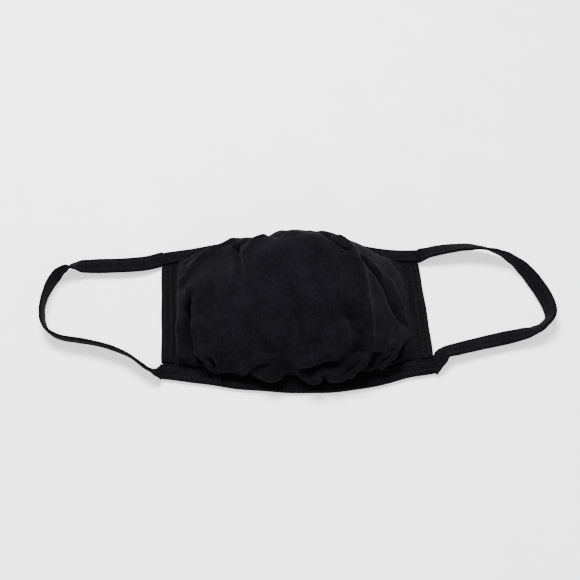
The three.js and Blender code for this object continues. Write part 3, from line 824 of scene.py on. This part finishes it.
FOLDS = [  # the places it runs through (x, degrees up the dome), width, depth, lean to its right, drop
    ([(-63.6, 86), (-62.8, 74), (-61.8, 56), (-60.4, 36), (-58.4, 18), (-54, 6), (-48, 3)], 2.7, -5.4, 0, 10),
    ([(-57.6, 86), (-56.4, 66), (-55.4, 48), (-54.2, 28)], 2.6, 1.2, 3.2, 0),
    ([(-65.8, 16), (-67.8, 42), (-68, 66), (-66.4, 88), (-63.5, 98)], 2.4, 3.2, 2.0, 0),
    ([(-68, 116), (-60, 128), (-50, 141), (-40, 152)], 4.0, 2.6, 0, 0),
    ([(-66, 148), (-52, 160)], 4.0, -2.4, 0, 0),
    ([(-35.6, 134), (-34.8, 120), (-33.4, 108), (-32.2, 97)], 1.9, -6.4, 0.8, 0),
    ([(-33, 114), (-28, 122), (-24, 134), (-20, 140)], 2.2, 1.7, 0.6, 0),
    ([(-30, 132), (-26, 150), (-23, 176)], 2.2, -3.0, 0, 0),
    ([(-49.5, 19), (-47, 10), (-44, 4)], 1.7, -4.6, 0, 0),
    ([(-53.5, 26), (-50.5, 10), (-47.5, 4)], 1.5, 1.6, 0, 0),
    ([(-45.5, 24), (-42.5, 10)], 2.2, 1.6, 0, 0),
    ([(-27, 3), (-25, 9), (-21, 14), (-17, 16)], 1.8, -2.0, -1.0, 0),
    ([(-29, 14), (-22, 21), (-14, 22)], 3.0, 1.2, 0, 0),
    ([(-4, 2), (-4, 10)], 3.4, -2.4, 0, 0),
    ([(-4, 12), (-5, 30)], 4.0, -1.0, 0, 0),
    ([(3, 9), (9, 12), (15, 14), (22, 15)], 2.2, -5.6, -2.2, 0),
    ([(2, 17), (10, 22), (18, 26), (25, 26)], 3.0, 1.6, 0, 0),
    ([(15, 1), (15.5, 6)], 1.6, -2.4, 0, 0),
    ([(22, 78), (24.5, 56), (27.5, 34), (29.5, 16)], 2.8, 1.4, 0, 0),
    ([(30.5, 60), (33, 46), (35, 26)], 5.4, -4.4, 0, 0),
    ([(42, 44), (42.5, 26), (38, 12), (31, 6)], 2.0, 2.6, 1.4, 0),
    ([(46, 26), (42, 9), (36, 4)], 2.4, -5.0, 0, 0),
    ([(58.5, 46), (57, 32), (54, 14), (49, 5)], 1.6, 2.4, 1.5, 0),
    ([(62, 42), (60.5, 24), (57, 10)], 2.8, -2.4, 0, 3.5),
    ([(10.5, 152), (14, 141), (18.5, 130), (24.5, 122), (30, 120)], 1.8, -5.2, -1.2, 0),
    ([(26, 138), (30, 132), (34, 120), (37, 104), (39.5, 86), (41, 66), (41.5, 48)], 2.6, 2.6, 1.2, 0),
    (
        [(39, 116), (43.5, 112), (48, 110), (52, 104), (54.5, 96), (58, 90), (62, 85), (66, 79)],
        2.6, -2.8, 0, 3.5,
    ),
    ([(55, 118), (61, 108), (67, 95)], 3.0, 1.2, 0, 0),
    ([(-19, 166), (-17, 148), (-12, 134)], 4.0, -2.6, 0, 0),
    ([(-4, 154), (-6, 180)], 2.4, -3.0, 0, 0),
    ([(6, 160), (8, 180)], 2.0, -2.6, 0, 0),
]


# %% [markdown]
# A column of a table is read as one smooth curve through its rows. A fold is a line over the dome, and the
# cloth beside it moves by a bell-shaped share of its depth. So a fold has no hard edge, and where two of them
# cross they add up. A fold can also lean over to one side, as a pleat does.

# %% Read the tables
def table_at(rows, column, at):
    """A column of a table on one smooth curve through its rows."""
    rows = np.array(rows, float)
    x, y = rows[:, 0], rows[:, column]
    last = len(x) - 1
    before = np.maximum(np.arange(len(x)) - 1, 0)
    after = np.minimum(np.arange(len(x)) + 1, last)
    slope = (y[after] - y[before]) / (x[after] - x[before])
    i = np.clip(np.searchsorted(x, at) - 1, 0, last - 1)
    span = x[i + 1] - x[i]
    t = np.clip((at - x[i]) / span, 0, 1)
    level = (1 + 2 * t) * (1 - t) ** 2 * y[i] + t**2 * (3 - 2 * t) * y[i + 1]
    bent = level + span * t * (1 - t) * ((1 - t) * slope[i] - t * slope[i + 1])
    return np.where(y[i] == y[i + 1], y[i], bent)


def folds_at(x, degrees):
    """How far the folds move the cloth outwards, across, up the dome and straight down, in mm."""
    per_degree = DOME_LENGTH / 180
    place = np.stack([x, degrees * per_degree], axis=-1)
    moved = np.zeros((*x.shape, 4))
    for places, width, depth, lean, drop in FOLDS:
        line = np.array(places, float) * (1, per_degree)
        nearest = np.full(x.shape, np.inf)
        right = np.zeros(place.shape)
        for start, end in zip(line, line[1:]):
            run = end - start
            along = np.clip(((place - start) @ run) / (run @ run), 0, 1)
            beside = np.linalg.norm(place - start - along[..., None] * run, axis=-1)
            closer = beside < nearest
            nearest = np.where(closer, beside, nearest)
            right[closer] = unit(np.array([run[1], -run[0]]))
        share = np.exp(-((nearest / width) ** 2))
        moved[..., 0] += depth * share
        moved[..., 1:3] += lean * share[..., None] * right
        moved[..., 3] += drop * share
    return moved


# %% [markdown]
# Each column of the grid is one line of cloth from the chin hem to the nose hem: flat inside the chin tape,
# up out of it, over the dome and down into the nose tape. The dome's section is half an ellipse made fuller,
# with its crown moved towards the chin or the nose. The folds then move the cloth along its own outward
# direction, and a faint crumple adds the unevenness that no table holds.

# %% Lay out the cloth
PANEL_COLUMNS, DOME_ROWS = 200, 128
CREASES = 30  # faint waves of different lengths that crumple the cloth a little
CREASE_LENGTHS = (7, 34)  # mm, the shortest and the longest
CREASE_DEPTH, CREASE_LENGTH = 0.075, 16  # mm: this deep at this length, and in proportion at others
DOWN = np.array([0.0, 0.0, -1.0])


def bulge(degrees):
    """Share of a puff's bulge that many degrees up the dome."""
    return degrees / BULGE_AT * np.exp(1 - degrees / BULGE_AT)


def on_tape(path, axis, values, across):
    """Places that far across a tape, where its middle's x (axis 0) or y (axis 1) has those values."""
    middle, _, wide, _ = path.at(path.share_where(axis, values))
    return middle + wide * across


def hem_across(tape):
    """How far across a tape the panel's hem lies inside it, in mm."""
    return tape["slot"] - tape["width"] / 2 - 2 * GAP


def crumple(x, y):
    """A soft unevenness made of waves in all directions, in mm."""
    chance = np.random.default_rng(4)
    total = np.zeros_like(x)
    for _ in range(CREASES):
        heading = chance.uniform(0, math.pi)
        length = chance.uniform(*CREASE_LENGTHS)
        phase = chance.uniform(0, 2 * math.pi)
        wave = np.sin((x * math.cos(heading) + y * math.sin(heading)) * 2 * math.pi / length + phase)
        total += wave * CREASE_DEPTH * (length / CREASE_LENGTH)
    return total


def edge_lines(share, rise):
    """x along the chin and the nose, the hems, the mouths of the tapes, and the lips over the mouths."""
    left_x = on_tape(left, 1, PANEL_CORNERS["left"], hem_across(left.tape))[:, 0]
    right_x = on_tape(right, 1, PANEL_CORNERS["right"], hem_across(right.tape))[:, 0]
    x = [left_x[end] + (right_x[end] - left_x[end]) * share for end in (0, 1)]
    brink = -chin.tape["width"] / 2 - PLY_PAIR / 2 - GAP
    hems = [on_tape(path, 0, values, hem_across(path.tape)) for path, values in zip((chin, nose), x)]
    mouths = [on_tape(path, 0, values, brink) for path, values in zip((chin, nose), x)]
    inwards = [unit(mouth - hem) for mouth, hem in zip(mouths, hems)]
    lips = [
        mouth + np.array([0, 0, LIP]) * rise[:, None] + inward * (1 - rise)[:, None]
        for mouth, inward in zip(mouths, inwards)
    ]
    return x, hems, mouths, lips


def plain_dome(x, lips, height, rise, way, degrees):
    """The dome from lip to lip, with its puffs and without its folds."""
    dome = lips[0][:, None] * (1 - way[..., None]) + lips[1][:, None] * way[..., None]
    out = table_at(NOSE_PUFFS, 1, x[1])[:, None] * bulge(180 - degrees)
    out = out - table_at(PUFFS, 1, x[0])[:, None] * bulge(degrees)
    dome[..., 1] += out * rise[:, None] ** 2
    dome[..., 2] += height[:, None] * (np.sin(np.radians(degrees)) ** BREADTH)[None]
    return dome


def folded_dome(dome, mouths, height, rise, degrees):
    """The dome with its folds and its crumple, both fading out towards its edges."""
    row = np.arange(DOME_ROWS + 1)
    spread = np.broadcast_to(degrees, dome.shape[:2])
    moved = folds_at(dome[..., 0], spread)
    moved[..., 0] += crumple(dome[..., 0], spread * DOME_LENGTH / 180)
    moved *= (rise**2 * np.minimum(height / LOW, 1))[:, None, None]
    moved *= smoothstep(np.minimum(row, DOME_ROWS - row) / FADE_ROWS)[None, :, None]
    whole = np.concatenate([mouths[0][:, None], dome, mouths[1][:, None]], axis=1)
    across, up = (unit(np.gradient(whole, axis=axis))[:, 1:-1] for axis in (0, 1))
    for amount, way_out in zip(np.moveaxis(moved, 2, 0), (unit(np.cross(across, up)), across, up, DOWN)):
        dome = dome + way_out * amount[..., None]
    return dome


def panel_points():
    """Middle of the cloth as (column, row) points."""
    share = np.concatenate([[0], np.linspace(MARGIN, 100 - MARGIN, PANEL_COLUMNS - 2), [100]]) / 100
    height = table_at(CROWNS, 1, share * 100)
    crown = table_at(CROWNS, 2, share * 100) / 100
    rise = np.minimum(height / FULL_HEIGHT * STANDS_BY, 1)
    x, hems, mouths, lips = edge_lines(share, rise)
    row = np.arange(DOME_ROWS + 1)
    degrees = 90 * (1 - np.cos(math.pi * row / DOME_ROWS))
    angle = np.radians(degrees)
    cos = np.cos(angle)
    steep = (1 - np.sign(cos) * np.abs(cos) ** STEEPNESS) / 2
    way = row[None] / DOME_ROWS * (1 - rise[:, None]) + steep[None] * rise[:, None]
    way = way + (crown[:, None] - 0.5) * np.sin(angle)[None] ** 2
    dome = plain_dome(x, lips, height, rise, way, degrees)
    dome = folded_dome(dome, mouths, height, rise, degrees)
    sink = SINK + (1 - SINK) * np.sin(angle)
    lowest = lips[0][:, None, 2] * (1 - way) + lips[1][:, None, 2] * way - sink * LIP * rise[:, None]
    dome[..., 2] = np.maximum(dome[..., 2], lowest)
    halfway = [(hem + mouth) / 2 for hem, mouth in zip(hems, mouths)]
    grid = [hems[0], halfway[0], mouths[0], *np.moveaxis(dome, 1, 0), mouths[1], halfway[1], hems[1]]
    return np.stack(grid, axis=1)


cloth_points = panel_points()
columns, rows = cloth_points.shape[:2]
across_steps = np.linalg.norm(np.diff(cloth_points, axis=0), axis=2).mean(axis=1)
along_steps = np.linalg.norm(np.diff(cloth_points, axis=1), axis=2)
cloth_u = np.broadcast_to(np.concatenate([[0], np.cumsum(across_steps)])[:, None], (columns, rows))
cloth_v = np.concatenate([np.zeros((columns, 1)), np.cumsum(along_steps, axis=1)], axis=1)
panel = grid_piece("gathered_panel", columns, rows, cloth_points, (cloth_u, cloth_v))
print(f"panel grid {columns} x {rows}, middle of the cloth {cloth_v[:, -1].max():.0f} mm from hem to hem")

# %% [markdown]
# The simulation is only a finishing touch. The cloth grows a little while its edges are held, so it buckles
# between the folds that are already there. Gravity is off, because the dome already has its height, and each
# point's move is capped, so the cloth stays close to the plain solid.

# %% Settle the cloth
HELD_ROWS, HELD_COLUMNS = 5, 2  # of the grid, at each edge, that the tapes hold
GROWTH = 0.02  # share by which the cloth grows
SETTLE_FRAMES = 22
MOST_MOVE = 1.7  # mm that a point of the cloth may move


def settle(piece):
    """A short cloth simulation with the hems held, applied, with every point's move capped."""
    count = len(piece.data.vertices)
    start = np.empty(count * 3)
    piece.data.vertices.foreach_get("co", start)
    start = start.reshape(-1, 3)
    index = np.arange(count)
    i, j = index % columns, index // columns
    held = (j < HELD_ROWS) | (j >= rows - HELD_ROWS) | (i < HELD_COLUMNS) | (i >= columns - HELD_COLUMNS)
    group = piece.vertex_groups.new(name="held")
    group.add(index[held].tolist(), 1.0, "REPLACE")
    deselect_all()
    piece.select_set(True)
    bpy.context.view_layer.objects.active = piece
    bpy.ops.object.modifier_add(type="CLOTH")
    cloth = piece.modifiers[-1]
    how = cloth.settings
    how.quality = 6
    how.mass = 0.0002
    how.tension_stiffness = how.compression_stiffness = 8
    how.shear_stiffness = 4
    how.bending_stiffness = 0.02
    how.shrink_min = how.shrink_max = -GROWTH
    how.vertex_group_mass = "held"
    how.effector_weights.gravity = 0
    cloth.collision_settings.use_collision = False
    cloth.point_cache.frame_start, cloth.point_cache.frame_end = 1, SETTLE_FRAMES
    for number in range(1, SETTLE_FRAMES + 1):
        bpy.context.scene.frame_set(number)
    bpy.ops.object.modifier_apply(modifier=cloth.name)
    bpy.context.scene.frame_set(1)
    end = np.empty(count * 3)
    piece.data.vertices.foreach_get("co", end)
    move = end.reshape(-1, 3) - start
    far = np.linalg.norm(move, axis=1)
    cap = MOST_MOVE * MM
    kept = start + move * (cap * np.tanh(far / cap) / np.maximum(far, 1e-9))[:, None]
    piece.data.vertices.foreach_set("co", kept.ravel())
    piece.data.update()
    print(f"cloth moved up to {far.max() / MM:.1f} mm, {np.median(far) / MM:.1f} mm at the median point")


settle(panel)

# %% [markdown]
# The two plies are sewn together all round and move as one, so they are one sheet of both thicknesses.

# %% Give the panel its two plies
use_modifier(panel, "SOLIDIFY", thickness=PLY_PAIR * MM, offset=0)
smooth(panel)
dress(panel, PANEL_CLOTH, "panel_jersey", "face_panel")
print("gathered_panel:", len(panel.data.polygons), "faces")

# %% [markdown]
# ## Floor and light
#
# The mask lies on a plain white table under soft light from all round, with one broad light above and
# behind it that picks out the tops of the folds, and a weak, low one in front that lifts the undersides of
# the puffs. The table also glows a little, which keeps it white behind such dark cloth.

# %% Stage
TABLE_TOP = -0.0004  # m, just clear of the mask's lowest points
WHITE_STOPS = ((0.3, (0.86, 0.86, 0.86, 1)), (0.7, (0.9, 0.9, 0.9, 1)))
deselect_all()
bpy.ops.mesh.primitive_plane_add(size=6, location=(0, 0, TABLE_TOP))
floor = bpy.context.object
floor.name = "table_top"
white = Finish("white_table")
grain = white.node("TexNoise", Vector=white.node("TexCoord", output=3), Scale=40.0, Detail=2.0)
white.surface(
    Base_Color=white.node("ValToRGB", {"stops": WHITE_STOPS}, Fac=grain),
    Roughness=0.75,
    Emission_Color=(1, 1, 1, 1),
    Emission_Strength=0.85,
)
floor.data.materials.append(white.material)

world = bpy.data.worlds.new("studio")
bpy.context.scene.world = world
world.use_nodes = True
world.node_tree.nodes["Background"].inputs["Color"].default_value = (1, 1, 1, 1)
world.node_tree.nodes["Background"].inputs["Strength"].default_value = 0.8


def softbox(name, place, size, power):
    """A round light there, aimed at the mask. Its size is in metres and its power in watts."""
    deselect_all()
    bpy.ops.object.light_add(type="AREA", location=place)
    light = bpy.context.object
    light.name = name
    light.data.shape = "DISK"
    light.data.size = size
    light.data.energy = power
    light.rotation_euler = (-Vector(place)).to_track_quat("-Z", "Y").to_euler()


softbox("top_light", (-0.22, 0.5, 1.1), 0.6, 43.0)
softbox("front_light", (0.2, -1.1, 0.4), 0.9, 8.0)
